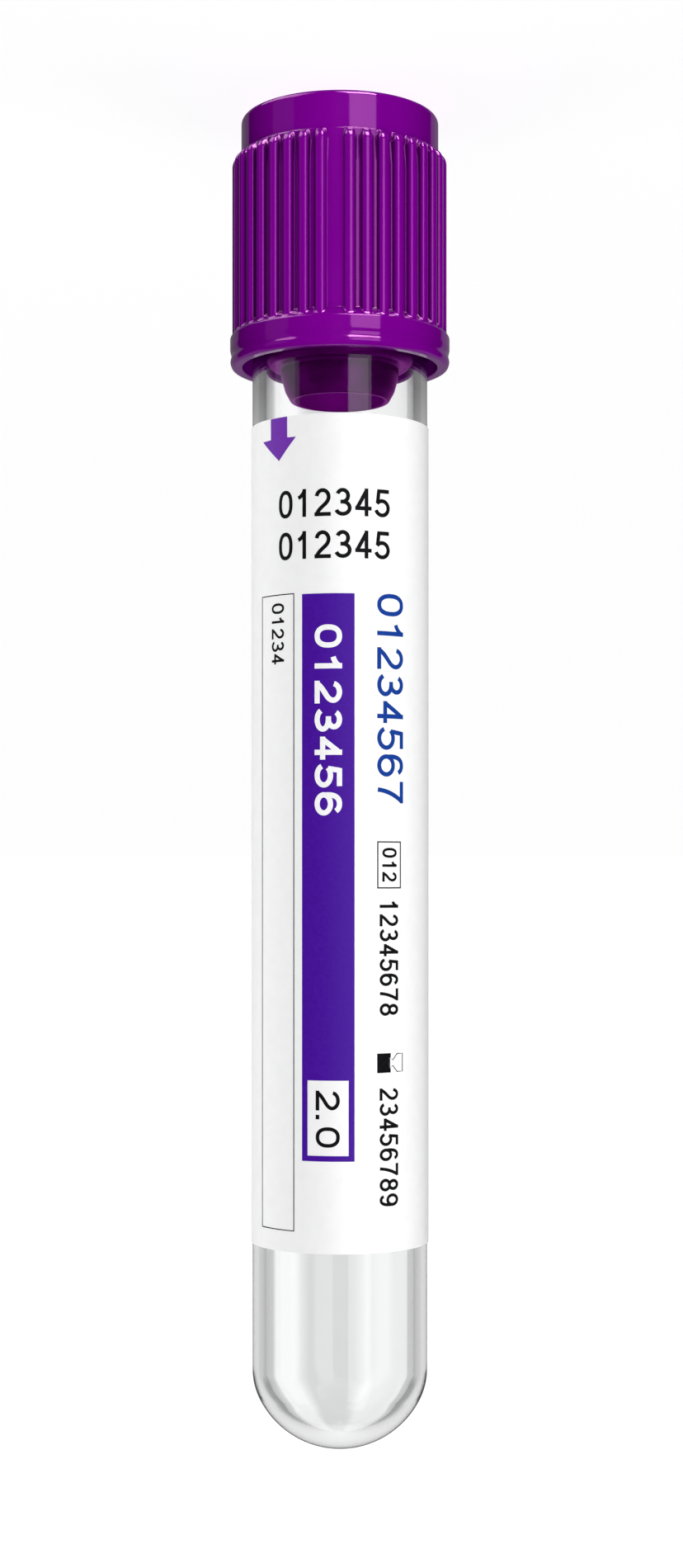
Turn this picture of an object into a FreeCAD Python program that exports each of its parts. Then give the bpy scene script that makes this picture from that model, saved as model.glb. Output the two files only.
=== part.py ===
import FreeCAD, Part
import math
import os

# Blood collection tube with a pull-off safety closure, standing on the closure's flat top.
#
# Every piece is drawn upright in millimetres on the tube's own axis: the pole of the round
# end is at z = 0, the mouth points up, and the front of the label faces -Y. Lying down it
# would roll, so the last step turns the pieces over together and stands them on the crown.

# Tube: clear moulded polyester, with a slightly flattened round end
tube_outer_d = 13.0
tube_wall = 1.0
tube_length = 88.4
tube_floor = 1.15             # thickness at the pole of the round end
end_crown_over = 0.22         # the end's middle arc is this much larger than the tube's radius
end_knuckle_under = 1.8       # and the arc that joins it to the wall this much smaller
tube_rim_ease = 0.25

# Label: one self-adhesive film, wrapped round the front with a narrow window at the back
label_film = 0.1
label_wrap_deg = 300.0
label_from_pole = 15.35
label_below_cap = 4.55        # clear stretch of tube between the label and the closure

# Cap: moulded polyethylene shield, an H in section, whose ledge sits on the tube's rim
ledge_thickness = 1.0
ledge_grip = 0.6              # the ledge reaches this far in over the tube's bore
skirt_drop = 8.2              # from the ledge's underside down to the open end
crown_rise = 10.25            # from the ledge's underside up to the top rim
bore_gap = 0.4                # between the tube and the skirt
skirt_wall = 0.65             # between the ribs, at the lower end
mouth_step = 0.35             # the bore is wider by this much at the open end, up to a bevel
mouth_depth = 1.5
flange_stand = 0.62           # how far the flange stands out from the skirt
flange_height = 2.15
bead_height = 0.75            # rounded bead at the flange's lower edge
bead_round = 0.42
waist_depth = 0.09            # shallow waist above the bead
waist_height = 0.5
flange_ramp = 0.7             # slope that leads from the flange into the grooves
crown_step = 0.22             # the smooth crown stands back from the skirt by this much
crown_height = 2.75
crown_wall = 0.85
crown_round = 0.4
edge_ease = 0.25

# Grip ribs: groups round the skirt, with a plain gap between one group and the next
rib_groups = 4
ribs_per_group = 9
rib_gap_deg = 15.7
front_gap_turn_deg = -2.6     # where the front gap's middle stands, from the label's middle
rib_stand = 0.49
rib_base_width = 0.88
rib_tip_width = 0.40
rib_tip_round = 0.24
rib_nose_inset = 0.25         # the nose turns about a line this far inside the crown's face

# Stopper: one moulded rubber piece, gripped round the cap's ledge
plug_clearance = 0.03         # drawn fit in the tube, where the real rubber is squeezed
plug_drop = 8.3               # sealing section below the ledge
tail_length = 2.3             # from the sealing section's lower end down to the hollow tail's rim
tail_inset = 1.1              # the tail stands in from the sealing section
tail_taper = 0.8              # and its lower end narrows by this much
tail_taper_height = 1.45
tail_round = 1.5              # where the tail starts to narrow
tail_rim_width = 0.25
cavity_roof_below = 1.4       # from the hollow's roof up to the ledge
head_flange_height = 2.7
head_flange_gap = 0.06        # between the rubber flange and the crown's inside
head_inset = 1.5              # the head stands in from its flange
head_height = 5.2             # from the ledge's top to the stopper's top
well_wall = 2.5               # round the well in the head's top
well_depth = 2.6
rubber_round = 0.35

# Worked out from the sizes above
tube_r = tube_outer_d / 2
tube_bore_r = tube_r - tube_wall
end_crown_r = tube_r + end_crown_over
end_knuckle_r = tube_r - end_knuckle_under

ledge_z = tube_length
ledge_top_z = ledge_z + ledge_thickness
cap_bottom_z = ledge_z - skirt_drop
cap_top_z = ledge_z + crown_rise
flange_top_z = cap_bottom_z + flange_height
groove_floor_z = flange_top_z + flange_ramp
crown_z = cap_top_z - crown_height

ledge_hole_r = tube_bore_r - ledge_grip
bore_r = tube_r + bore_gap
mouth_r = bore_r + mouth_step
skirt_r = bore_r + skirt_wall
flange_r = skirt_r + flange_stand
crown_r = skirt_r - crown_step
cup_r = crown_r - crown_wall

origin = FreeCAD.Vector(0, 0, 0)
axis_x = FreeCAD.Vector(1, 0, 0)
axis_y = FreeCAD.Vector(0, 1, 0)
axis_z = FreeCAD.Vector(0, 0, 1)


def upright(u, v):
    """A point of a drawn profile: its distance out along X, and its height."""
    return FreeCAD.Vector(u, 0, v)


def flat(u, v):
    """A point of a section drawn square to the tube's axis."""
    return FreeCAD.Vector(u, v, 0)


def outline(corners, place):
    """Face inside the closed run of corners (u, v, rounding, steps).

    A rounding keeps to its tangent arc in that many equal straight steps, so one step is a
    chamfer and none is a sharp corner. Half of the shorter run beside it limits it.
    """
    points = []
    for i, (u, v, rounding, steps) in enumerate(corners):
        corner = flat(u, v)
        if not steps:
            points.append(corner)
            continue
        back = flat(*corners[i - 1][:2]) - corner
        ahead = flat(*corners[(i + 1) % len(corners)][:2]) - corner
        half_turn = (math.pi - back.getAngle(ahead)) / 2
        room = 0.49 * min(back.Length, ahead.Length)
        setback = min(rounding * math.tan(half_turn), room)
        radius = setback / math.tan(half_turn)
        inward = (back.normalize() + ahead.normalize()).normalize()
        centre = corner + inward * (radius / math.cos(half_turn))
        spoke = corner + back * setback - centre
        sweep = math.copysign(2 * math.degrees(half_turn), ahead.cross(back).z)
        for step in range(steps + 1):
            points.append(centre + FreeCAD.Rotation(axis_z, sweep * step / steps).multVec(spoke))
    placed = [place(p.x, p.y) for p in points]
    return Part.Face(Part.makePolygon(placed + placed[:1]))


def turned(corners):
    """Solid turned about the tube's axis from a profile of (r, z, rounding, steps) corners."""
    return outline(corners, upright).revolve(origin, axis_z, 360)


def round_end_height(radius, crown, knuckle):
    """Height of a round end of two tangent arcs, from its pole to where the wall starts."""
    return crown - math.sqrt((crown - knuckle) ** 2 - (radius - knuckle) ** 2)


def round_ended_bar(radius, crown, knuckle, pole_z, top_z):
    """Solid bar on the axis with a round lower end: a middle arc, a knuckle arc, a wall."""
    wall_z = pole_z + round_end_height(radius, crown, knuckle)
    crown_centre_z = pole_z + crown
    turn = math.asin((radius - knuckle) / (crown - knuckle))
    pole = upright(0, pole_z)
    crown_mid = upright(crown * math.sin(turn / 2), crown_centre_z - crown * math.cos(turn / 2))
    joint = upright(crown * math.sin(turn), crown_centre_z - crown * math.cos(turn))
    half_left = (turn + math.pi / 2) / 2
    knuckle_mid = upright(radius - knuckle + knuckle * math.sin(half_left),
                          wall_z - knuckle * math.cos(half_left))
    wall_foot = upright(radius, wall_z)
    wall_top = upright(radius, top_z)
    axis_top = upright(0, top_z)
    edges = [
        Part.Arc(pole, crown_mid, joint).toShape(),
        Part.Arc(joint, knuckle_mid, wall_foot).toShape(),
        Part.LineSegment(wall_foot, wall_top).toShape(),
        Part.LineSegment(wall_top, axis_top).toShape(),
        Part.LineSegment(axis_top, pole).toShape(),
    ]
    return Part.Face(Part.Wire(edges)).revolve(origin, axis_z, 360)


def make_tube():
    """Outer form less the bore, with both edges of the rim eased."""
    outer = round_ended_bar(tube_r, end_crown_r, end_knuckle_r, 0, tube_length)
    bore = round_ended_bar(tube_bore_r, end_crown_r - tube_wall, end_knuckle_r - tube_wall,
                           tube_floor, tube_length + 1)
    tube = outer.cut(bore)
    rim = [e for e in tube.Edges if e.BoundBox.ZMin > tube_length - 1e-3]
    return tube.makeChamfer(min(tube_rim_ease, 0.49 * tube_wall), rim)


def make_label():
    """Film turned round the front of the tube, open at the back."""
    film = [
        (tube_r, label_from_pole, 0, 0),
        (tube_r + label_film, label_from_pole, 0, 0),
        (tube_r + label_film, cap_bottom_z - label_below_cap, 0, 0),
        (tube_r, cap_bottom_z - label_below_cap, 0, 0),
    ]
    sheet = outline(film, upright).revolve(origin, axis_z, label_wrap_deg)
    sheet.rotate(origin, axis_z, -90 - label_wrap_deg / 2)
    return sheet


def make_rib():
    """One grip rib towards +X: an upright bar of rounded wedge section, nosed over by an arc."""
    root_r = crown_r - rib_nose_inset
    tip_r = skirt_r + rib_stand
    foot_z = (cap_bottom_z + flange_top_z) / 2
    spread = (rib_base_width - rib_tip_width) / 2 / rib_stand
    root_half = rib_base_width / 2 + spread * (skirt_r - root_r)
    tip_half = rib_tip_width / 2
    section = outline([
        (root_r, -root_half, 0, 0),
        (tip_r, -tip_half, rib_tip_round, 1),
        (tip_r, tip_half, rib_tip_round, 1),
        (root_r, root_half, 0, 0),
    ], flat)
    section.translate(axis_z * foot_z)
    bar = section.extrude(axis_z * (crown_z - foot_z))
    nose_r = tip_r - root_r
    nose_z = crown_z - nose_r
    slant = nose_r * math.sqrt(0.5)
    nose = Part.Arc(upright(tip_r, nose_z), upright(root_r + slant, nose_z + slant),
                    upright(root_r, crown_z))
    sides = Part.makePolygon([upright(root_r, crown_z), upright(root_r, foot_z),
                              upright(tip_r, foot_z), upright(tip_r, nose_z)])
    side_view = Part.Face(Part.Wire(sides.Edges + [nose.toShape()]))
    side_view.translate(axis_y * -root_half)
    return bar.common(side_view.extrude(axis_y * 2 * root_half))


def make_cap():
    """Turned H section with a beaded flange, and the ribs set round its skirt in groups."""
    waist_r = flange_r - waist_depth
    waist_z = cap_bottom_z + bead_height + waist_height / 2
    body = turned([
        (mouth_r, cap_bottom_z, 0, 0),
        (flange_r, cap_bottom_z, bead_round, 2),
        (flange_r, cap_bottom_z + bead_height, 0, 0),
        (waist_r, waist_z, 0, 0),
        (flange_r, waist_z + waist_height / 2, 0, 0),
        (flange_r, flange_top_z, 0, 0),
        (skirt_r, groove_floor_z, 0, 0),
        (skirt_r, crown_z, 0, 0),
        (crown_r, crown_z, 0, 0),
        (crown_r, cap_top_z, crown_round, 2),
        (cup_r, cap_top_z, edge_ease, 1),
        (cup_r, ledge_top_z, 0, 0),
        (ledge_hole_r, ledge_top_z, 0, 0),
        (ledge_hole_r, ledge_z, 0, 0),
        (bore_r, ledge_z, 0, 0),
        (bore_r, cap_bottom_z + mouth_depth + mouth_step, 0, 0),
        (mouth_r, cap_bottom_z + mouth_depth, 0, 0),
    ])
    rib = make_rib()
    group_deg = 360 / rib_groups
    pitch_deg = (group_deg - rib_gap_deg) / (ribs_per_group - 1)
    first_deg = -90 + front_gap_turn_deg + rib_gap_deg / 2
    ribs = []
    for group in range(rib_groups):
        for place in range(ribs_per_group):
            copy = rib.copy()
            turn = first_deg + group * group_deg + place * pitch_deg
            copy.rotate(origin, axis_z, turn)
            ribs.append(copy)
    return body.fuse(ribs).removeSplitter()


def make_stopper():
    """Turned rubber stopper: hollow tail, sealing section, groove for the ledge, head."""
    plug_r = tube_bore_r - plug_clearance
    tail_r = plug_r - tail_inset
    tail_rim_r = tail_r - tail_taper
    cavity_r = tail_rim_r - tail_rim_width
    plug_z = ledge_z - plug_drop
    tail_rim_z = plug_z - tail_length
    cavity_roof_z = ledge_z - cavity_roof_below
    flange_of_head_r = cup_r - head_flange_gap
    flange_of_head_z = ledge_top_z + head_flange_height
    head_r = flange_of_head_r - head_inset
    head_top_z = ledge_top_z + head_height
    well_r = head_r - well_wall
    well_z = head_top_z - well_depth
    return turned([
        (0, cavity_roof_z, 0, 0),
        (cavity_r, cavity_roof_z, 0, 0),
        (cavity_r, tail_rim_z, 0, 0),
        (tail_rim_r, tail_rim_z, 0, 0),
        (tail_r, tail_rim_z + tail_taper_height, tail_round, 1),
        (tail_r, plug_z, 0, 0),
        (plug_r, plug_z, rubber_round, 1),
        (plug_r, ledge_z, 0, 0),
        (ledge_hole_r, ledge_z, 0, 0),
        (ledge_hole_r, ledge_top_z, 0, 0),
        (flange_of_head_r, ledge_top_z, 0, 0),
        (flange_of_head_r, flange_of_head_z, 0, 0),
        (head_r, flange_of_head_z, 0, 0),
        (head_r, head_top_z, rubber_round, 1),
        (well_r, head_top_z, 0, 0),
        (well_r, well_z, 0, 0),
        (0, well_z, 0, 0),
    ])


def stand_on_crown(pieces):
    """Turn the pieces over, front still towards -Y, and rest the crown's rim on z = 0."""
    for shape in pieces.values():
        shape.rotate(origin, axis_y, 180)
        shape.translate(axis_z * cap_top_z)


pieces = {
    "tube": make_tube(),
    "label": make_label(),
    "cap": make_cap(),
    "stopper": make_stopper(),
}
stand_on_crown(pieces)
os.makedirs("parts", exist_ok=True)
for name, shape in pieces.items():
    shape.exportStep(f"parts/{name}.step")
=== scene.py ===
import math

import bpy
import numpy as np
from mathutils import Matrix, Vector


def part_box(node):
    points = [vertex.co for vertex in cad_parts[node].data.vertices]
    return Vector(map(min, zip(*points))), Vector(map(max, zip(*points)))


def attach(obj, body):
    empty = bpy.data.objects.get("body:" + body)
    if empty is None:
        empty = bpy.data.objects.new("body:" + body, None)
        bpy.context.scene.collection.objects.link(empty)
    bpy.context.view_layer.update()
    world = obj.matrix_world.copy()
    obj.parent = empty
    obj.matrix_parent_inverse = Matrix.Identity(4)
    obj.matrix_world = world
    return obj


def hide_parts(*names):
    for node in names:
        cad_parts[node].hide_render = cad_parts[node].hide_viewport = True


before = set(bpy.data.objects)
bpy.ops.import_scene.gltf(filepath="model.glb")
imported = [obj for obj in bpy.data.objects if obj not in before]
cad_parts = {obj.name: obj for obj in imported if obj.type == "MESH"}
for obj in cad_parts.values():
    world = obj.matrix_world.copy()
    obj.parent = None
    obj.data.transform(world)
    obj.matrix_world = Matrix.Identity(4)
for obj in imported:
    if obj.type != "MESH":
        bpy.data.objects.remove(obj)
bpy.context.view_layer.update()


# ---- Tube ----------------------------------------------------------------------------------
# The tube is one injection moulding in clear polyester: a straight wall, a slightly flattened
# round end and an open mouth, which is hidden in the closure. The whole object stands on the
# closure's crown, so its pole is the highest point, and all heights z are counted down from it.
tube_r = 6.5
tube_wall = 1.0
tube_length = 88.4
tube_floor = 1.15
end_crown_r = 6.72
end_knuckle_r = 4.7
tube_bore_r = tube_r - tube_wall
wall_start = 10               # the straight wall's rings begin here
rim_foot = tube_length - 1    # and end here
wall_rings = 14
tube_columns = 240
rim_round = 0.25
clear_tint = (0.985, 0.988, 0.99, 1)
shadow_tint = (0.93, 0.93, 0.94, 1)
clear_index = 1.575

mm = 0.001
pole_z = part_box("tube")[1].z


def stood(r, turn, z):
    """Points in metres of the standing object from radius and distance z below the pole in mm.

    x = -r sin(turn), y = -r cos(turn) and height = pole height - z, so turn 0 is the label's
    front and a growing turn goes to the right of someone who faces it with the closure on top.
    """
    r, turn, z = np.broadcast_arrays(r, turn, z)
    return np.stack([-r * mm * np.sin(turn), -r * mm * np.cos(turn), pole_z - z * mm], -1)


def cells(rows, columns, ring_rows=False, ring_columns=False):
    """Four-cornered faces between neighbouring points of a grid that is numbered row by row."""
    i, j = np.meshgrid(np.arange(rows - (not ring_rows)), np.arange(columns - (not ring_columns)),
                       indexing="ij")
    i_next, j_next = (i + 1) % rows, (j + 1) % columns
    corners = [i * columns + j, i * columns + j_next, i_next * columns + j_next,
               i_next * columns + j]
    return np.stack(corners, -1).reshape(-1, 4)


def make_piece(name, points, faces, smooth=True):
    """Object from points (n, 3) in metres and arrays of faces with three or four corners.

    The volume inside is the sum of a . (b x c) / 6 over the faces' triangles. Where that is
    negative the faces are turned round, so that they point outwards.
    """
    volume = 0.0
    for f in faces:
        for k in range(1, f.shape[1] - 1):
            a, b, c = points[f[:, 0]], points[f[:, k]], points[f[:, k + 1]]
            volume += np.einsum("ij,ij->", a, np.cross(b, c)) / 6
    order = 1 if volume > 0 else -1
    mesh = bpy.data.meshes.new(name)
    mesh.from_pydata(points.tolist(), [], [c for f in faces for c in f[:, ::order].tolist()])
    mesh.polygons.foreach_set("use_smooth", np.full(len(mesh.polygons), smooth))
    piece = bpy.data.objects.new(name, mesh)
    bpy.context.scene.collection.objects.link(piece)
    return piece


def turned(name, run, columns):
    """Piece turned about the tube's axis from a run of points (r, z) in mm.

    Point (i, j) of the grid is run point i at turn 2 pi j / columns. A run that starts and ends
    on the axis is closed by a fan of triangles at each pole; any other run is a loop.
    """
    r, z = np.asarray(run, float).T
    turn = np.arange(columns) * 2 * math.pi / columns
    if r[0] > 1e-6:
        points = stood(r[:, None], turn[None], z[:, None]).reshape(-1, 3)
        return make_piece(name, points, [cells(len(r), columns, True, True)])
    rings = stood(r[1:-1, None], turn[None], z[1:-1, None]).reshape(-1, 3)
    poles = stood(np.zeros(2), 0.0, z[[0, -1]])
    points = np.concatenate([rings, poles])
    j = np.arange(columns)
    j_next = (j + 1) % columns
    last = (len(r) - 3) * columns
    first_fan = np.stack([j_next, j, np.full(columns, len(rings))], -1)
    last_fan = np.stack([last + j, last + j_next, np.full(columns, len(rings) + 1)], -1)
    return make_piece(name, points, [cells(len(r) - 2, columns, False, True), first_fan, last_fan])


def rounded(corners, loop=True, step_deg=10):
    """Run of points through corners (u, v, rounding), each corner eased by its tangent arc.

    The arc's centre lies on the corner's bisector at rounding / cos(half turn). A guard point
    just outside each end of an arc keeps the flat faces beside it flat when shaded smooth.
    """
    guard = 0.05
    run = []
    count = len(corners)
    for i, (u, v, rounding) in enumerate(corners):
        corner = np.array([u, v])
        if not loop and i in (0, count - 1):
            run.append(corner)
            continue
        back = np.array(corners[i - 1][:2]) - corner
        ahead = np.array(corners[(i + 1) % count][:2]) - corner
        back_run, ahead_run = np.linalg.norm(back), np.linalg.norm(ahead)
        back, ahead = back / back_run, ahead / ahead_run
        half_turn = (math.pi - math.acos(np.clip(back @ ahead, -1, 1))) / 2
        if half_turn < 1e-3:
            run.append(corner)
            continue
        setback = min(rounding * math.tan(half_turn), 0.45 * min(back_run, ahead_run))
        radius = setback / math.tan(half_turn)
        bisector = (back + ahead) / np.linalg.norm(back + ahead)
        centre = corner + bisector * radius / math.cos(half_turn)
        spoke = corner + back * setback - centre
        sweep = math.copysign(2 * half_turn, ahead[0] * back[1] - ahead[1] * back[0])
        steps = max(2, math.ceil(math.degrees(2 * half_turn) / step_deg))
        angle = np.linspace(0, sweep, steps + 1)
        turned_spokes = np.stack([spoke[0] * np.cos(angle) - spoke[1] * np.sin(angle),
                                  spoke[0] * np.sin(angle) + spoke[1] * np.cos(angle)], -1)
        if back_run > 2 * setback + 3 * guard:
            run.append(corner + back * (setback + guard))
        run.extend(centre + turned_spokes)
        if ahead_run > 2 * setback + 3 * guard:
            run.append(corner + ahead * (setback + guard))
    return np.array(run)


def round_end(radius, crown, knuckle, low_z):
    """Run from the pole to the wall's foot: an arc of radius crown, then one of radius knuckle.

    Both arcs turn at a constant rate from straight down to straight out, and the change from
    one to the other comes where sin(turn) = (radius - knuckle) / (crown - knuckle).
    """
    change = math.asin((radius - knuckle) / (crown - knuckle))
    turn = np.linspace(0, math.pi / 2, 28)
    inner = turn <= change
    joint_r = (crown - knuckle) * math.sin(change)
    joint_z = low_z + crown - (crown - knuckle) * math.cos(change)
    r = np.where(inner, crown * np.sin(turn), joint_r + knuckle * np.sin(turn))
    z = np.where(inner, low_z + crown - crown * np.cos(turn), joint_z - knuckle * np.cos(turn))
    return np.stack([r, z], -1)


def new_material(name):
    """Material with a Principled shader; gives the material, its nodes, its links, the shader."""
    material = bpy.data.materials.new(name)
    material.use_nodes = True
    nodes, links = material.node_tree.nodes, material.node_tree.links
    return material, nodes, links, nodes["Principled BSDF"]


def grain(nodes, links, size, detail=2.0, stretch=(1, 1, 1)):
    """Noise on the piece's own coordinates whose lumps are about size mm across."""
    where = nodes.new("ShaderNodeTexCoord")
    lay = nodes.new("ShaderNodeMapping")
    lay.inputs["Scale"].default_value = stretch
    noise = nodes.new("ShaderNodeTexNoise")
    noise.inputs["Scale"].default_value = 1 / (size * mm)
    noise.inputs["Detail"].default_value = detail
    links.new(where.outputs["Object"], lay.inputs["Vector"])
    links.new(lay.outputs["Vector"], noise.inputs["Vector"])
    return noise.outputs["Fac"]


def spread(nodes, links, source, low, high):
    """Noise between about 0.3 and 0.7 spread over the range from low to high."""
    ranged = nodes.new("ShaderNodeMapRange")
    ranged.inputs["From Min"].default_value = 0.3
    ranged.inputs["From Max"].default_value = 0.7
    ranged.inputs["To Min"].default_value = low
    ranged.inputs["To Max"].default_value = high
    links.new(source, ranged.inputs["Value"])
    return ranged.outputs["Result"]


def tinted(nodes, links, source, dark, light):
    """Colour that goes from dark to light as the noise goes from 0.3 to 0.7."""
    ramp = nodes.new("ShaderNodeValToRGB")
    ramp.color_ramp.elements[0].position = 0.3
    ramp.color_ramp.elements[0].color = dark
    ramp.color_ramp.elements[1].position = 0.7
    ramp.color_ramp.elements[1].color = light
    links.new(source, ramp.inputs["Fac"])
    return ramp.outputs["Color"]


def relief(nodes, links, source, depth, strength, shader):
    """Bump of the given depth in mm on the shader's normal."""
    bump = nodes.new("ShaderNodeBump")
    bump.inputs["Distance"].default_value = depth * mm
    bump.inputs["Strength"].default_value = strength
    links.new(source, bump.inputs["Height"])
    links.new(bump.outputs["Normal"], shader.inputs["Normal"])


outer_end = round_end(tube_r, end_crown_r, end_knuckle_r, 0.0)
inner_end = round_end(tube_bore_r, end_crown_r - tube_wall, end_knuckle_r - tube_wall, tube_floor)
wall_heights = np.linspace(wall_start, rim_foot, wall_rings)
rim = rounded([(tube_r, rim_foot, 0), (tube_r, tube_length, rim_round),
               (tube_bore_r, tube_length, rim_round), (tube_bore_r, rim_foot, 0)],
              loop=False)[1:-1]
outer_wall = np.stack([np.full(wall_rings, tube_r), wall_heights], -1)
inner_wall = np.stack([np.full(wall_rings, tube_bore_r), wall_heights[::-1]], -1)
tube_run = np.concatenate([outer_end, outer_wall, rim, inner_wall, inner_end[::-1]])
tube = turned("clear_tube", tube_run, tube_columns)

polyester, nodes, links, shader = new_material("clear_polyester_moulded")
shader.inputs["Base Color"].default_value = clear_tint
shader.inputs["IOR"].default_value = clear_index
shader.inputs["Transmission Weight"].default_value = 1.0
flow = grain(nodes, links, 5.0, stretch=(1, 1, 0.2))
links.new(spread(nodes, links, flow, 0.0, 0.03), shader.inputs["Roughness"])
relief(nodes, links, flow, 0.02, 0.12, shader)
# A lamp's light goes straight through the wall, which throws only a faint shadow.
lamp_path = nodes.new("ShaderNodeLightPath")
let_through = nodes.new("ShaderNodeBsdfTransparent")
let_through.inputs["Color"].default_value = shadow_tint
either = nodes.new("ShaderNodeMixShader")
links.new(lamp_path.outputs["Is Shadow Ray"], either.inputs["Fac"])
links.new(shader.outputs["BSDF"], either.inputs[1])
links.new(let_through.outputs["BSDF"], either.inputs[2])
links.new(either.outputs["Shader"], nodes["Material Output"].inputs["Surface"])
tube.data.materials.append(polyester)
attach(tube, "tube_body")
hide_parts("tube")


# ---- Label ---------------------------------------------------------------------------------
# The label is one self-adhesive film, white coated and faintly satin. It is wrapped round the
# front five sixths of the tube by machine, and leaves a narrow clear window at the back.
label_r = 6.6
label_low = 15.35
label_high = 75.65
label_wrap = math.radians(300)
label_gap = 0.008             # the adhesive, between the tube's face and the film
label_columns = 181
label_rows = np.linspace(20, 70, 12)
edge_turn = 1e-3              # radians from the film's edge to the guard column beside it
edge_mm = 0.01                # and from its ends to their guard rows
film_dark = (0.885, 0.885, 0.887, 1)
film_light = (0.91, 0.91, 0.912, 1)


def film_grid(turn, z, r_inner, r_outer, ring=False):
    """Closed film over a grid of turns and heights in mm, as its points and its faces.

    The grid is laid once at the outer radius and once at the inner one, and its borders are
    joined by bands of faces. In a ring the last row is followed by the first.
    """
    rows, columns = turn.shape
    count = rows * columns
    points = np.concatenate([stood(r_outer, turn, z).reshape(-1, 3),
                             stood(r_inner, turn, z).reshape(-1, 3)])
    front = cells(rows, columns, ring)
    faces = [front, front[:, ::-1] + count]
    grid = np.arange(count).reshape(rows, columns)
    if ring:
        borders = [grid[::-1, 0], grid[:, -1]]
    else:
        borders = [np.concatenate([grid[0, :-1], grid[:-1, -1], grid[-1, :0:-1],
                                   grid[:0:-1, 0]])]
    for border in borders:
        follow = np.roll(border, -1)
        faces.append(np.stack([follow, border, border + count, follow + count], -1))
    return points, np.concatenate(faces)


def films(name, grids, smooth=False):
    """One piece from several closed films, each numbered on from the points before it."""
    starts = np.cumsum([0] + [len(points) for points, _ in grids])
    faces = [quads + start for (_, quads), start in zip(grids, starts)]
    return make_piece(name, np.concatenate([points for points, _ in grids]), faces, smooth)


label_turns = np.linspace(-label_wrap / 2, label_wrap / 2, label_columns)
label_turns = np.concatenate([[label_turns[0]], [label_turns[0] + edge_turn], label_turns[1:-1],
                              [label_turns[-1] - edge_turn], [label_turns[-1]]])
label_heights = np.array([label_low, label_low + edge_mm, *label_rows, label_high - edge_mm,
                          label_high])
turn_grid, height_grid = np.meshgrid(label_turns, label_heights)
label = films("label_film", [film_grid(turn_grid, height_grid, tube_r + label_gap, label_r)],
              smooth=True)

white_film, nodes, links, shader = new_material("white_coated_film")
fibres = grain(nodes, links, 0.8, 4.0)
links.new(tinted(nodes, links, fibres, film_dark, film_light), shader.inputs["Base Color"])
links.new(spread(nodes, links, fibres, 0.4, 0.5), shader.inputs["Roughness"])
relief(nodes, links, fibres, 0.004, 0.06, shader)
label.data.materials.append(white_film)
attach(label, "tube_body")
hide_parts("label")


# ---- Print ---------------------------------------------------------------------------------
# The label is printed in flat inks: a fill arrow at its top edge, two lines of plain digits, a
# ruled box for handwriting, a coloured band and columns of digits. Ink lies proud by microns.
ink_low = label_r - 0.004
ink_high = label_r + 0.012
over_ink = 0.01               # the white digits are printed over the band, this much higher
rule_mm = 0.07                # width of a ruled line
heavy_rule_mm = 0.09
light_weight = 0.14           # width of a digit's stroke, as a share of the digit's height
box_weight = 0.15
bold_weight = 0.19
digit_width = 0.66            # width of a digit, as a share of its height
digit_advance = 0.79          # from one digit to the next
point_share = 0.5             # a point advances by this much of a digit's advance
row_step = 0.3                # mm between the rows of faces in an inked area or a bar
column_step = 2.5             # degrees between an inked area's columns
band_left, band_right = -24.3, 9.2
box_left, box_right = -59.2, -29.9
black_ink_colour = (0.004, 0.004, 0.005, 1)
purple_ink_colour = (0.055, 0.004, 0.29, 1)
arrow_ink_colour = (0.15, 0.028, 0.37, 1)
blue_ink_colour = (0.003, 0.04, 0.27, 1)
white_ink_colour = (0.86, 0.86, 0.87, 1)


def make_ink(name, colour):
    """Flat ink, a little uneven in density and gloss, as a flexographic press lays it."""
    ink, nodes, links, shader = new_material(name)
    density = grain(nodes, links, 0.25, 3.0)
    thin = tuple(min(1.0, c * 1.08 + 0.002) for c in colour[:3]) + (1,)
    links.new(tinted(nodes, links, density, colour, thin), shader.inputs["Base Color"])
    links.new(spread(nodes, links, density, 0.4, 0.5), shader.inputs["Roughness"])
    shader.inputs["Specular IOR Level"].default_value = 0.12
    relief(nodes, links, density, 0.003, 0.06, shader)
    return ink


label_and_print = [label]


def printed(name, grids, ink):
    """The ink is part of the label, so it rides with the tube."""
    piece = films(name, grids)
    label_and_print.append(piece)
    piece.data.materials.append(ink)
    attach(piece, "tube_body")


def inked(left, right, z):
    """Film between two edges, given in degrees at each of the heights z in mm.

    Rows are added at a fixed step, and each runs from its left edge to its right edge in even
    steps of turn, so that slanting edges follow the label's curve.
    """
    rows = np.union1d(z, np.arange(z[0], z[-1], row_step))
    left_turn = np.radians(np.interp(rows, z, left))
    right_turn = np.radians(np.interp(rows, z, right))
    widest_deg = np.degrees(np.max(right_turn - left_turn))
    across = np.linspace(0, 1, 2 + int(widest_deg / column_step))
    turn = left_turn[:, None] + (right_turn - left_turn)[:, None] * across[None]
    return film_grid(turn, np.repeat(rows[:, None], len(across), 1), ink_low, ink_high)


def area(left, right, bottom, top):
    """Upright area from left to right in degrees and from bottom to top in mm."""
    return inked([left, left], [right, right], [bottom, top])


def stroke(path, width, place, ring=False, lift=0.0):
    """Film along a flat path (u, v) in mm: every point moved half a width to either side.

    The side is the path's direction turned a quarter. place takes u and v to turn and height.
    """
    if ring:
        along = np.roll(path, -1, 0) - np.roll(path, 1, 0)
    else:
        along = np.gradient(path, axis=0)
    along = along / np.linalg.norm(along, axis=1)[:, None]
    side = np.stack([along[:, 1], -along[:, 0]], -1)
    across = np.linspace(-width / 2, width / 2, 3)
    flat = path[:, None] + side[:, None] * across[None, :, None]
    return film_grid(*place(flat[..., 0], flat[..., 1]), ink_low + lift, ink_high + lift, ring)


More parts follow.
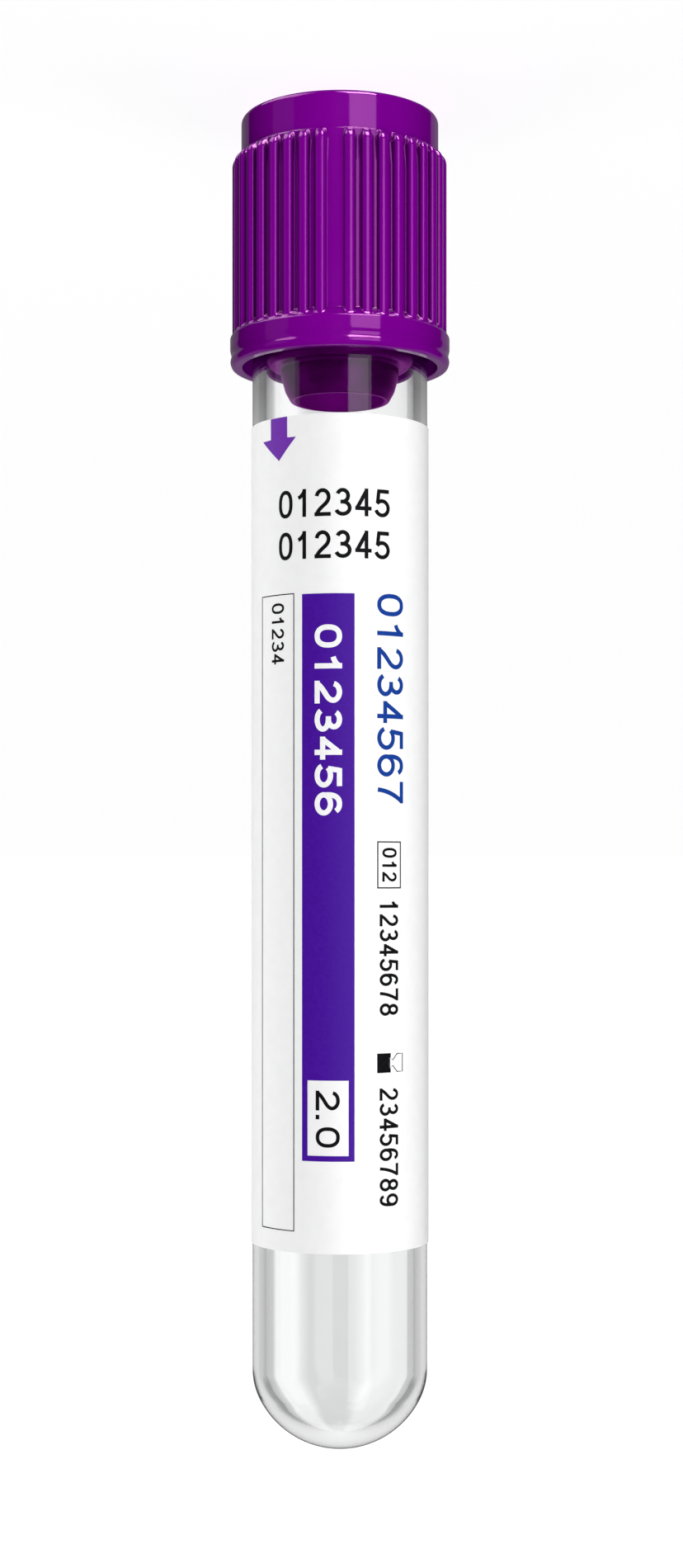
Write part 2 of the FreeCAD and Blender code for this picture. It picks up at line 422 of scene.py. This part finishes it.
def arc(centre_x, centre_y, reach_x, reach_y, start=0, end=360, fullness=2.0):
    """Points of an oval arc: centre + reach times the cosine and sine to the 2 / fullness.

    A fullness over two squares the oval's shoulders. A full turn leaves out its last point.
    """
    turn = np.radians(np.linspace(start, end, 2 + int(abs(end - start) / 11)))
    turn = turn[:-1] if abs(end - start) == 360 else turn
    way = np.stack([np.cos(turn), np.sin(turn)], -1)
    eased = np.sign(way) * np.abs(way) ** (2 / fullness)
    return eased * (reach_x, reach_y) + (centre_x, centre_y)


def bend(a, b, c, d):
    """Points of the cubic curve from a to d that b and c pull: the Bernstein sum."""
    t = np.linspace(0, 1, 9)[:, None]
    a, b, c, d = np.array([a, b, c, d], float)
    return a * (1 - t) ** 3 + 3 * b * t * (1 - t) ** 2 + 3 * c * t * t * (1 - t) + d * t ** 3


# Centre lines of plain digits in a square field: straight bars, open curves and closed rings.
oval_fullness = 2.35
low_bowl = arc(0.5, 0.3, 0.5, 0.3)
tall_sweep = arc(0.5, 0.5, 0.5, 0.5, 40, 190, oval_fullness)
figures = {
    "0": {"rings": [arc(0.5, 0.5, 0.5, 0.5, fullness=oval_fullness)]},
    "1": {"bars": [[(0.6, 0), (0.6, 1)]], "curves": [bend((0.6, 1), (0.5, 0.86), (0.32, 0.76),
                                                          (0.1, 0.72))]},
    "2": {"bars": [[(0.02, 0), (0.98, 0)]],
          "curves": [np.concatenate([arc(0.5, 0.715, 0.46, 0.285, 172, -30),
                                     bend((0.898, 0.572), (0.8, 0.42), (0.25, 0.27),
                                          (0.05, 0.02))[1:]])]},
    "3": {"curves": [arc(0.47, 0.755, 0.41, 0.245, 158, -90),
                     np.concatenate([[(0.3, 0.51)], arc(0.48, 0.255, 0.52, 0.255, 90, -160)])]},
    "4": {"bars": [[(0.74, 0), (0.74, 1)], [(0.02, 0.25), (1, 0.25)]],
          "curves": [np.linspace((0.72, 0.97), (0.03, 0.27), 5)]},
    "5": {"bars": [[(0.22, 1), (0.92, 1)]],
          "curves": [np.linspace((0.2, 1.02), (0.09, 0.49), 4),
                     arc(0.47, 0.3, 0.53, 0.3, 143, -162)]},
    "6": {"rings": [low_bowl], "curves": [tall_sweep]},
    "7": {"bars": [[(0.02, 1), (0.98, 1)]],
          "curves": [bend((0.97, 0.98), (0.62, 0.65), (0.4, 0.3), (0.36, -0.06))]},
    "8": {"rings": [arc(0.5, 0.755, 0.42, 0.245), arc(0.5, 0.26, 0.5, 0.26)]},
    "9": {"rings": [1 - low_bowl], "curves": [1 - tall_sweep]},
    ".": {"bars": [[(0, 0), (0.05, 0)]]},
}


def digits(name, text, left, right, bottom, top, ink, down=False, weight=light_weight,
           lift=0.0):
    """A row of digits that fills the area, read to the right or down the tube.

    The row's length is shared out by each digit's advance. A digit's field is scaled to its
    width and height less one stroke, so that the strokes keep one width throughout.
    """
    round_mm = math.radians(right - left) * label_r
    length, height = (top - bottom, round_mm) if down else (round_mm, top - bottom)
    steps = np.array([digit_advance * (point_share if c == "." else 1) for c in text])
    unit = length / (steps[:-1].sum() + digit_width)
    starts = np.concatenate([[0], np.cumsum(steps[:-1])]) * unit
    pen = weight * height

    def place(u, v):
        """Turn and height of a point u along the row and v across it, both in mm."""
        if down:
            return math.radians(left) + v / label_r, top - u
        return math.radians(left) + u / label_r, bottom + v

    def fitted(path, start):
        """Path in mm: the square field scaled to a digit's field, less half a stroke all round."""
        field = (digit_width * unit - pen, height - pen)
        return np.asarray(path, float) * field + (start + pen / 2, pen / 2)

    grids = []
    for start, c in zip(starts, text):
        for path in figures[c].get("bars", []):
            ends = fitted(path, start)
            way = (ends[1] - ends[0]) / np.linalg.norm(ends[1] - ends[0])
            ends = ends + np.stack([-way, way]) * pen / 2
            steps_along = 2 + int(np.linalg.norm(ends[1] - ends[0]) / row_step)
            grids.append(stroke(np.linspace(*ends, steps_along), pen, place, False, lift))
        for path in figures[c].get("curves", []):
            grids.append(stroke(fitted(path, start), pen, place, False, lift))
        for path in figures[c].get("rings", []):
            grids.append(stroke(fitted(path, start), pen, place, True, lift))
    printed(name, grids, ink)


def ruled(left, right, bottom, top, line_mm=rule_mm):
    """The four lines of a ruled box."""
    line_deg = math.degrees(line_mm / label_r)
    return [area(left, right, bottom, bottom + line_mm), area(left, right, top - line_mm, top),
            area(left, left + line_deg, bottom + line_mm, top - line_mm),
            area(right - line_deg, right, bottom + line_mm, top - line_mm)]


black_ink = make_ink("black_ink", black_ink_colour)
purple_ink = make_ink("purple_ink", purple_ink_colour)
arrow_ink = make_ink("arrow_ink", arrow_ink_colour)
blue_ink = make_ink("blue_ink", blue_ink_colour)
white_ink = make_ink("white_ink", white_ink_colour)

printed("fill_arrow", [inked([-41.9, -57.8, -49.3, -49.3], [-41.7, -28.6, -35.2, -35.2],
                             [72.5, 74.1, 74.11, 75.62])], arrow_ink)
digits("serial_digits_upper", "012345", -41.8, 33.0, 68.27, 70.27, black_ink)
digits("serial_digits_lower", "012345", -41.8, 33.0, 65.25, 67.25, black_ink)
printed("name_box_rule", ruled(box_left, box_right, 16.87, 62.83), black_ink)
digits("name_box_digits", "01234", -48.3, -37.7, 57.8, 62.2, black_ink, down=True)
printed("purple_band", [area(band_left, band_right, 22.0, 22.4),
                        area(band_left, -20.6, 22.4, 27.8), area(5.5, band_right, 22.4, 27.8),
                        area(band_left, band_right, 27.8, 62.73)], purple_ink)
digits("band_digits", "0123456", -15.9, 1.4, 46.8, 60.5, white_ink, True, bold_weight, over_ink)
digits("volume_digits", "2.0", -15.2, 0.0, 23.0, 27.1, black_ink, True, box_weight)
digits("column_digits", "01234567", 24.0, 43.8, 47.7, 62.8, blue_ink, True)
printed("lot_box_rule", ruled(24.0, 41.9, 41.57, 44.97, heavy_rule_mm), black_ink)
digits("lot_box_digits", "012", 27.6, 38.4, 42.05, 44.5, black_ink, True, box_weight)
digits("lot_digits", "12345678", 25.7, 39.6, 32.4, 40.8, black_ink, True)
digits("date_digits", "23456789", 25.7, 39.6, 18.67, 27.2, black_ink, True)

# The date sign is an hourglass on its side, a filled half beside an outlined one. Its outline is
# in degrees and mm, and becomes mm both ways for the stroke.
sign_outline = np.array([(33.0, 28.6), (33.0, 29.4), (35.3, 29.2), (38.8, 29.65), (43.2, 29.65),
                         (43.2, 28.35), (38.8, 28.35), (35.3, 28.8)])
printed("date_sign", [area(24.0, 32.6, 28.3, 29.7), area(32.6, 33.7, 28.3, 28.6),
                      area(32.6, 33.7, 29.4, 29.7),
                      stroke(sign_outline * (math.radians(label_r), 1), rule_mm,
                             lambda u, v: (u / label_r, v), True)], black_ink)


# ---- Stopper -------------------------------------------------------------------------------
# The stopper is one moulded rubber piece, pressed into the tube and gripped round the closure's
# ledge: a hollow tail, a sealing section, a neck in the ledge, and a head with a needle well.
seal_r = 5.505                # squeezed against the bore, so that no air shows between
seal_low = 80.1
tail_r = 4.37
tail_mouth_r = 3.66
tail_low = 77.66
tail_taper_top = 79.25
hollow_r = 3.32
hollow_top = 87.0
ledge_low = 88.4
ledge_high = 89.4
neck_r = 4.9
head_flange_r = 6.42
head_flange_top = 92.1
head_r = 4.92
head_top = 94.6
well_r = 2.42
well_floor = 92.0
lip_rise = 0.7                # height of the tail's rounded lip, and how much it narrows
lip_draw_in = 0.3
stopper_columns = 200
rubber_dark = (0.1, 0.0004, 0.12, 1)
rubber_light = (0.12, 0.0005, 0.145, 1)

# Each corner is a radius, a height z counted down from the pole and a rounding, in mm.
stopper = turned("rubber_stopper", rounded([
    (0, hollow_top, 0), (hollow_r, hollow_top, 0.5), (hollow_r, tail_low, 0.14),
    (tail_mouth_r, tail_low, 0.18), (tail_r - lip_draw_in, tail_low + lip_rise, 1.2),
    (tail_r, tail_taper_top + 0.2, 1.5), (tail_r, seal_low, 0.2),
    (seal_r, seal_low, 0.7), (seal_r, ledge_low, 0.1), (neck_r, ledge_low, 0.1),
    (neck_r, ledge_high, 0.1), (head_flange_r, ledge_high, 0.2),
    (head_flange_r, head_flange_top, 0.3), (head_r, head_flange_top, 0.3),
    (head_r, head_top, 0.35), (well_r, head_top, 0.25), (well_r, well_floor, 0.3),
    (0, well_floor, 0)], loop=False), stopper_columns)

rubber, nodes, links, shader = new_material("purple_rubber")
bloom = grain(nodes, links, 0.6, 4.0)
links.new(tinted(nodes, links, bloom, rubber_dark, rubber_light), shader.inputs["Base Color"])
links.new(spread(nodes, links, bloom, 0.3, 0.36), shader.inputs["Roughness"])
shader.inputs["Metallic"].default_value = 0.7
shader.inputs["IOR"].default_value = 1.2
shader.inputs["Specular IOR Level"].default_value = 0.3
shader.inputs["Specular Tint"].default_value = (1.0, 0.1, 1.0, 1)
relief(nodes, links, bloom, 0.004, 0.1, shader)
stopper.data.materials.append(rubber)
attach(stopper, "closure")
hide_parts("stopper")


# ---- Closure shield ------------------------------------------------------------------------
# The shield is one polyethylene moulding that covers the stopper and the tube's mouth: a plain
# crown, a skirt with four groups of nine grip ribs, and a beaded flange at its open end.
cap_low = 80.2
cap_top = 98.65
flange_top = 82.35
groove_floor = 83.05
mouth_r = 7.25
bore_r = 6.9
skirt_r = 7.55
flange_r = 8.165
crown_r = 7.33
cup_r = 6.48
ledge_hole_r = 4.9
crown_low = 95.9
rib_stand = 0.49
rib_mid_r = skirt_r + rib_stand / 2
rib_round = 0.42              # the tip is an arc of this radius between the two flanks
rib_flank = math.radians(80)  # slope of a flank
rib_pitch = 9.2875
rib_groups = 4
ribs_per_group = 9
first_rib = 5.25              # degrees from the label's front to the first rib
rib_root_r = 7.08
nose_rise = 0.96              # radius of a rib's rounded end towards the crown
nose_draw_in = 0.45           # how fast the flanks draw in over that end
nose_slope = 4                # drop per mm past the end, down into the skirt
edge_blend = 0.12             # the mould's soft corner between a rib and the skirt
skirt_draw_in = 2.4           # height over which the skirt narrows to the crown
bead_dip = 0.11               # depth of the groove between the flange's bead and its band
valley_edge = 4.64            # degrees from a rib's middle to the valley beside it
# reach in mm of the painted shade that darkens the colour of the rib valleys
painted_shade_reach_mm = 0.8
mould_dark = (0.225, 0.0002, 0.325, 1)
mould_light = (0.25, 0.0003, 0.355, 1)


def smooth_low(a, b, blend):
    """The lower of a and b, rounded off where they are within blend of each other."""
    near = np.clip(1 - np.abs(a - b) / blend, 0, 1)
    return np.minimum(a, b) - near * near * blend / 4


def rib_radius(off, z):
    """Radius of a rib's surface at off degrees from its middle and height z in mm.

    Across the rib it is an arc that runs out into straight flanks. Towards the crown it falls
    along a quarter circle, and the distance from the middle grows with the height above its
    start, so that the flanks draw in round the same end.
    """
    over = np.clip(z - (crown_low - nose_rise), 0, None)
    fall = rib_root_r + np.sqrt(np.clip(nose_rise ** 2 - over ** 2, 0, None))
    fall = np.where(over < nose_rise, fall, rib_root_r - (over - nose_rise) * nose_slope)
    away = np.hypot(np.radians(off) * rib_mid_r, nose_draw_in * over)
    arc_half = rib_round * math.sin(rib_flank)
    arc_drop = rib_round - np.sqrt(rib_round ** 2 - np.minimum(away, arc_half) ** 2)
    flank_drop = np.clip(away - arc_half, 0, None) * math.tan(rib_flank)
    return smooth_low(fall, skirt_r + rib_stand - arc_drop - flank_drop, edge_blend)


# Columns of the shield's grid, in degrees: over each rib's arc, down its flanks to its foot, and
# in the valleys. A wide valley between two groups has four of them.
round_angles = np.radians(np.linspace(17, 80, 5))
round_offsets = np.degrees(rib_round * np.sin(round_angles) / rib_mid_r)
foot_offsets = [3.14, 3.25, 3.6]
half_offsets = np.concatenate([round_offsets, foot_offsets])
offsets = np.concatenate([-half_offsets[::-1], [0], half_offsets])
group_pitch = 360 / rib_groups
rib_middles = np.array([first_rib + g * group_pitch + k * rib_pitch
                        for g in range(rib_groups) for k in range(ribs_per_group)])
rib_columns = (rib_middles[:, None] + offsets[None]).ravel()
next_rib = np.append(rib_middles[1:], rib_middles[0] + 360)
valleys = np.concatenate([
    np.linspace(a + valley_edge, b - valley_edge, 1 if b - a < 10 else 4)
    for a, b in zip(rib_middles, next_rib)])
columns_deg = np.sort(np.concatenate([rib_columns, valleys]))
off_rib = np.abs((columns_deg[:, None] - rib_middles[None] + 180) % 360 - 180).min(1)

# The shield's section is a loop of corners: each a radius, a height z and a rounding, in mm.
cap_run = rounded([
    (mouth_r, cap_low, 0.1), (flange_r - 0.14, cap_low, 0.3), (flange_r, cap_low + 0.42, 0.35),
    (flange_r - bead_dip, cap_low + 0.85, 0.5), (flange_r, cap_low + 1.3, 0.6),
    (flange_r, flange_top, 0.16), (skirt_r, groove_floor, 0.12),
    (skirt_r, crown_low - skirt_draw_in, 2),
    (crown_r + 0.05, crown_low - 0.08, 0.05), (crown_r, crown_low, 0.05),
    (crown_r, cap_top, 0.6), (cup_r, cap_top, 0.25),
    (cup_r, ledge_high, 0.15), (ledge_hole_r, ledge_high, 0.08),
    (ledge_hole_r, ledge_low, 0.08), (bore_r, ledge_low, 0.15), (bore_r, cap_low + 1.85, 0.1),
    (mouth_r, cap_low + 1.5, 0.1)], step_deg=20)
run_r, run_z = cap_run.T

# The outer face between the flange and the crown gets more rows, and the ribs are raised on it.
outside_from, outside_to = flange_top - 0.35, crown_low + 0.75
outside = (run_r > crown_r - 0.02) & (run_z > outside_from) & (run_z < outside_to)
first_out, last_out = np.flatnonzero(outside)[[0, -1]]
foot_rows = np.linspace(flange_top, groove_floor + 0.4, 11)
middle_rows = [84.2, 90, 94.6]
nose_rows = crown_low + np.linspace(-1.0, 0.15, 13)
rib_rows = np.concatenate([foot_rows, middle_rows, nose_rows])
out_z = np.unique(np.round(np.concatenate([run_z[first_out:last_out + 1], rib_rows]), 4))
out_r = np.interp(out_z, run_z[first_out:last_out + 1], run_r[first_out:last_out + 1])
full_r = np.concatenate([run_r[:first_out], out_r, run_r[last_out + 1:]])
full_z = np.concatenate([run_z[:first_out], out_z, run_z[last_out + 1:]])
has_ribs = np.zeros(len(full_r), bool)
has_ribs[first_out:first_out + len(out_z)] = True

radius_grid = np.repeat(full_r[:, None], len(columns_deg), 1)
rib_grid = rib_radius(off_rib[None], full_z[:, None])
raised = -smooth_low(-radius_grid, -rib_grid, edge_blend)
radius_grid = np.where(has_ribs[:, None], np.minimum(raised, flange_r), radius_grid)
cap_points = stood(radius_grid, np.radians(columns_deg)[None], full_z[:, None]).reshape(-1, 3)
cap = make_piece("closure_shield", cap_points, [cells(len(full_r), len(columns_deg), True, True)])

polyethylene, nodes, links, shader = new_material("purple_polyethylene")
swirl = grain(nodes, links, 4.0, 3.0, stretch=(1, 1, 0.4))
# Painted shade: the valleys' colour is darkened the more the ribs beside them shelter them.
painted_shade_occlusion = nodes.new("ShaderNodeAmbientOcclusion")
painted_shade_occlusion.only_local = True
painted_shade_occlusion.samples = 8
painted_shade_occlusion.inputs["Distance"].default_value = painted_shade_reach_mm * mm
painted_shade_amount = nodes.new("ShaderNodeMapRange")
painted_shade_amount.inputs["From Min"].default_value = 0.4
painted_shade_amount.inputs["From Max"].default_value = 0.92
painted_shade_amount.inputs["To Min"].default_value = 0.14
links.new(painted_shade_occlusion.outputs["AO"], painted_shade_amount.inputs["Value"])
painted_shade_colour = nodes.new("ShaderNodeVectorMath")
painted_shade_colour.operation = "SCALE"
links.new(tinted(nodes, links, swirl, mould_dark, mould_light), painted_shade_colour.inputs[0])
links.new(painted_shade_amount.outputs["Result"], painted_shade_colour.inputs["Scale"])
# The base colour carries the painted shade of the rib valleys.
links.new(painted_shade_colour.outputs["Vector"], shader.inputs["Base Color"])
peel = grain(nodes, links, 1.6, 2.0)
links.new(spread(nodes, links, peel, 0.06, 0.1), shader.inputs["Roughness"])
shader.inputs["Specular IOR Level"].default_value = 1.0
shader.inputs["Specular Tint"].default_value = (1.0, 0.33, 0.8, 1)
relief(nodes, links, peel, 0.004, 0.03, shader)
cap.data.materials.append(polyethylene)
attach(cap, "closure")
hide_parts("cap")


# ---- Floor, lamps and room -----------------------------------------------------------------
# A plain pale floor under the crown, soft lamps beside, above and below the object, and a white
# room that is darker high up on each side. The floor lets the lamps' light and shine pass.
floor_reach = 6.0             # metres from the object to the floor's edge
floor_points = np.array([[-1, -1, 0], [1, -1, 0], [1, 1, 0], [-1, 1, 0]]) * floor_reach
floor_mesh = bpy.data.meshes.new("pale_floor")
floor_mesh.from_pydata(floor_points.tolist(), [], [(0, 1, 2, 3)])
floor = bpy.data.objects.new("pale_floor", floor_mesh)
bpy.context.scene.collection.objects.link(floor)
floor_paint, nodes, links, shader = new_material("pale_floor_paint")
shader.inputs["Base Color"].default_value = (0.8, 0.8, 0.8, 1)
shader.inputs["Roughness"].default_value = 0.9
shader.inputs["Specular IOR Level"].default_value = 0.0
shader.inputs["Emission Color"].default_value = (1, 1, 1, 1)
shader.inputs["Emission Strength"].default_value = 0.9
floor.data.materials.append(floor_paint)
floor.visible_diffuse = False
floor.visible_glossy = False
floor.visible_transmission = False
floor.visible_shadow = False


def lamp(name, azimuth, width_deg, radiance, distance=0.8, drop=0, height=2.4, shine=True,
         light=True, only=(), shaded_by=()):
    """Softbox at an azimuth from the camera's side, in degrees to the right, and facing it.

    It hangs drop degrees below the level of the crown's rim, and above it if drop is negative.
    Its width is 2 distance tan(width / 2), and its power is pi times area times radiance. It
    shows in glossy surfaces and through clear ones if it has shine, and lights matt ones if it
    has light. Where only names pieces, it lights those alone. If such a lamp has no shine, only
    those pieces and the ones in shaded_by can cast a shadow on them.
    """
    data = bpy.data.lights.new(name, "AREA")
    data.shape = "RECTANGLE"
    data.size = 2 * distance * math.tan(math.radians(width_deg) / 2)
    data.size_y = height
    data.energy = math.pi * data.size * data.size_y * radiance
    box = bpy.data.objects.new(name, data)
    a, d = math.radians(azimuth), math.radians(drop)
    box.location = (-distance * math.cos(d) * math.sin(a), -distance * math.cos(d) * math.cos(a),
                    -distance * math.sin(d))
    box.rotation_euler = (math.pi / 2 + d, 0, -a)
    box.visible_camera = False
    box.visible_glossy = box.visible_transmission = shine
    box.visible_diffuse = light
    bpy.context.scene.collection.objects.link(box)
    if only:
        lit = bpy.data.collections.new(name + "_lights")
        for piece in only:
            lit.objects.link(piece)
        box.light_linking.receiver_collection = lit
        if not shine:
            shades = bpy.data.collections.new(name + "_shades")
            for piece in (*only, *shaded_by):
                shades.objects.link(piece)
            box.light_linking.blocker_collection = shades


# The strips show as bands in the glossy faces, and the soft lamps light the matt colour.
see_through = [tube, stopper, *label_and_print]
lamp("soft_key", 10, 36, 3.1, 1.0, shine=False, only=[cap, *label_and_print])
lamp("key_strip", 26.5, 30, 0.9, light=False, only=see_through)
lamp("side_strip", -77, 33, 0.5, light=False, only=see_through)
lamp("closure_key_strip", 26.5, 30, 1.8, drop=8, height=0.58, light=False, only=[cap])
lamp("closure_side_strip", -69, 28, 0.15, drop=8, height=0.58, light=False, only=[cap])
lamp("low_key", 29.5, 30, 14.0, drop=55, height=0.45, light=False, only=[cap])
lamp("low_side", -85, 50, 3.0, drop=50, height=0.45, light=False, only=[cap])
lamp("crown_soft", 0, 30, 4.0, drop=90, height=0.4, shine=False, only=[cap])
lamp("flange_soft", 0, 40, 0.9, drop=-90, height=0.5, shine=False, only=[cap],
     shaded_by=[tube, stopper])
lamp("stopper_key", 10, 90, 3.0, drop=-38, height=0.4, shine=False, only=[stopper],
     shaded_by=[cap])
lamp("label_left_fill", -112, 50, 2.8, shine=False, only=label_and_print)
lamp("label_right_fill", 56, 50, 0.95, shine=False, only=label_and_print)
lamp("label_right_edge_fill", 100, 50, 0.3, shine=False, only=label_and_print)
lamp("back_fill", 180, 60, 0.8, 1.0, shine=False, only=[cap, stopper, *label_and_print])

# Light that soaks through the rubber is a small glow in the stopper's hollow.
hollow_rise = 1.5             # mm from the tail's rim into the hollow
hollow_glow = bpy.data.objects.new("hollow_glow", bpy.data.lights.new("hollow_glow", "POINT"))
hollow_glow.data.energy = 9e-4
hollow_glow.data.shadow_soft_size = 1.5 * mm
hollow_glow.location = (0, 0, pole_z - (tail_low + hollow_rise) * mm)
hollow_glow.visible_camera = hollow_glow.visible_glossy = False
hollow_glow.visible_transmission = False
bpy.context.scene.collection.objects.link(hollow_glow)
stopper_alone = bpy.data.collections.new("hollow_glow_lights")
stopper_alone.objects.link(stopper)
hollow_glow.light_linking.receiver_collection = stopper_alone

# The room's level follows the turn from straight behind the object. It differs by the path that
# light took: seen bare, through the clear wall, after a bounce in it, mirrored, or on matt faces.
room_seen = 1.1
room_on_matt = 0.05
side_shade = 0.32
world = bpy.data.worlds.new("white_room")
bpy.context.scene.world = world
world.use_nodes = True
nodes, links = world.node_tree.nodes, world.node_tree.links
path = nodes.new("ShaderNodeLightPath")
where = nodes.new("ShaderNodeTexCoord")
split = nodes.new("ShaderNodeSeparateXYZ")
links.new(where.outputs["Generated"], split.inputs["Vector"])
azimuth = nodes.new("ShaderNodeMath")
azimuth.operation = "ARCTAN2"
links.new(split.outputs["X"], azimuth.inputs[0])
links.new(split.outputs["Y"], azimuth.inputs[1])


def greys(source, stops):
    """Grey that follows the stops (turn in degrees, level), straight between them."""
    first, last = stops[0][0], stops[-1][0]
    share = nodes.new("ShaderNodeMapRange")
    share.inputs["From Min"].default_value = math.radians(first)
    share.inputs["From Max"].default_value = math.radians(last)
    links.new(source, share.inputs["Value"])
    ramp = nodes.new("ShaderNodeValToRGB")
    links.new(share.outputs["Result"], ramp.inputs["Fac"])
    for i, (turn, grey) in enumerate(stops):
        stop = ramp.color_ramp.elements[i] if i < 2 else ramp.color_ramp.elements.new(1.0)
        stop.position = (turn - first) / (last - first)
        stop.color = (grey, grey, grey, 1)
    return ramp.outputs["Color"]


in_quarter = nodes.new("ShaderNodeMath")
in_quarter.operation = "WRAP"
in_quarter.inputs[1].default_value = math.radians(45)
in_quarter.inputs[2].default_value = math.radians(-45)
links.new(azimuth.outputs[0], in_quarter.inputs[0])
off_back = nodes.new("ShaderNodeMath")
off_back.operation = "ABSOLUTE"
links.new(azimuth.outputs[0], off_back.inputs[0])
level = greys(in_quarter.outputs[0], (
    (-45, 0.6), (-30, 0.62), (-21, 0.75), (-19.5, 1.11), (-3.6, 1.11), (-1.5, 0.87),
    (4, 0.86), (6.5, 1.16), (16, 1.16), (20, 0.75), (30, 0.58), (45, 0.6)))


def unless(level, ray, other):
    """The level, or another one once the light path has the given kind of ray in it."""
    happened = nodes.new("ShaderNodeMath")
    happened.operation = "GREATER_THAN"
    happened.inputs[1].default_value = 0.5
    chosen = nodes.new("ShaderNodeMix")
    chosen.data_type = "FLOAT"
    links.new(path.outputs[ray], happened.inputs[0])
    links.new(happened.outputs[0], chosen.inputs["Factor"])
    links.new(level, chosen.inputs["A"])
    if isinstance(other, float):
        chosen.inputs["B"].default_value = other
    else:
        links.new(other, chosen.inputs["B"])
    return chosen.outputs["Result"]


def times(a, b):
    """Product of two sockets."""
    product = nodes.new("ShaderNodeMath")
    product.operation = "MULTIPLY"
    links.new(a, product.inputs[0])
    links.new(b, product.inputs[1])
    return product.outputs[0]


def between(low_deg, high_deg, low_level):
    """From a level to full, as the direction's slope goes from one angle to the other."""
    eased = nodes.new("ShaderNodeMapRange")
    eased.inputs["From Min"].default_value = math.sin(math.radians(low_deg))
    eased.inputs["From Max"].default_value = math.sin(math.radians(high_deg))
    eased.inputs["To Min"].default_value = low_level
    links.new(split.outputs["Z"], eased.inputs["Value"])
    return eased.outputs["Result"]


in_walls = greys(off_back.outputs[0], (
    (0, 1.0), (12, 0.95), (30, 0.75), (45, 0.6), (60, 0.4), (75, 0.015)))
mirrored = greys(off_back.outputs[0], ((0, 0.22), (46, 0.22), (48, 0.002)))
level = unless(level, "Glossy Depth", times(in_walls, between(-12, -9, 0.35)))
level = unless(level, "Is Reflection Ray", mirrored)
level = unless(level, "Diffuse Depth", room_on_matt)
beside = greys(off_back.outputs[0], ((0, 0), (32, 0), (44, 1), (75, 1), (90, 0)))
shaded = nodes.new("ShaderNodeMix")
shaded.data_type = "FLOAT"
shaded.inputs["B"].default_value = side_shade
links.new(times(between(14, 24, 0.0), beside), shaded.inputs["Factor"])
links.new(level, shaded.inputs["A"])
level = unless(shaded.outputs["Result"], "Is Camera Ray", room_seen)
links.new(level, nodes["Background"].inputs["Strength"])
nodes["Background"].inputs["Color"].default_value = (1, 1, 1, 1)
world.cycles.sampling_method = "NONE"

bpy.context.scene.view_settings.view_transform = "Standard"
# Light crosses the clear wall many times, so it is followed for many bounces.
bpy.context.scene.cycles.max_bounces = 24
bpy.context.scene.cycles.transmission_bounces = 20
bpy.context.scene.cycles.transparent_max_bounces = 16


# ---- Camera --------------------------------------------------------------------------------
# The camera looks level at the tube from the front, and is rolled half a turn because the
# object stands on its closure: the view then has the closure at its top.
camera_away = 0.172           # metres from the tube's axis
camera_below_pole = 0.04232
camera_data = bpy.data.cameras.new("camera")
camera_data.sensor_width = 36
camera_data.lens = 53.02
camera_data.shift_x = 0.00105
camera_data.shift_y = 0.06
camera_data.clip_start = 0.01
camera = bpy.data.objects.new("camera", camera_data)
camera.location = (0, -camera_away, pole_z - camera_below_pole)
camera.rotation_euler = (-math.pi / 2, 0, math.pi)
bpy.context.scene.collection.objects.link(camera)
bpy.context.scene.camera = camera
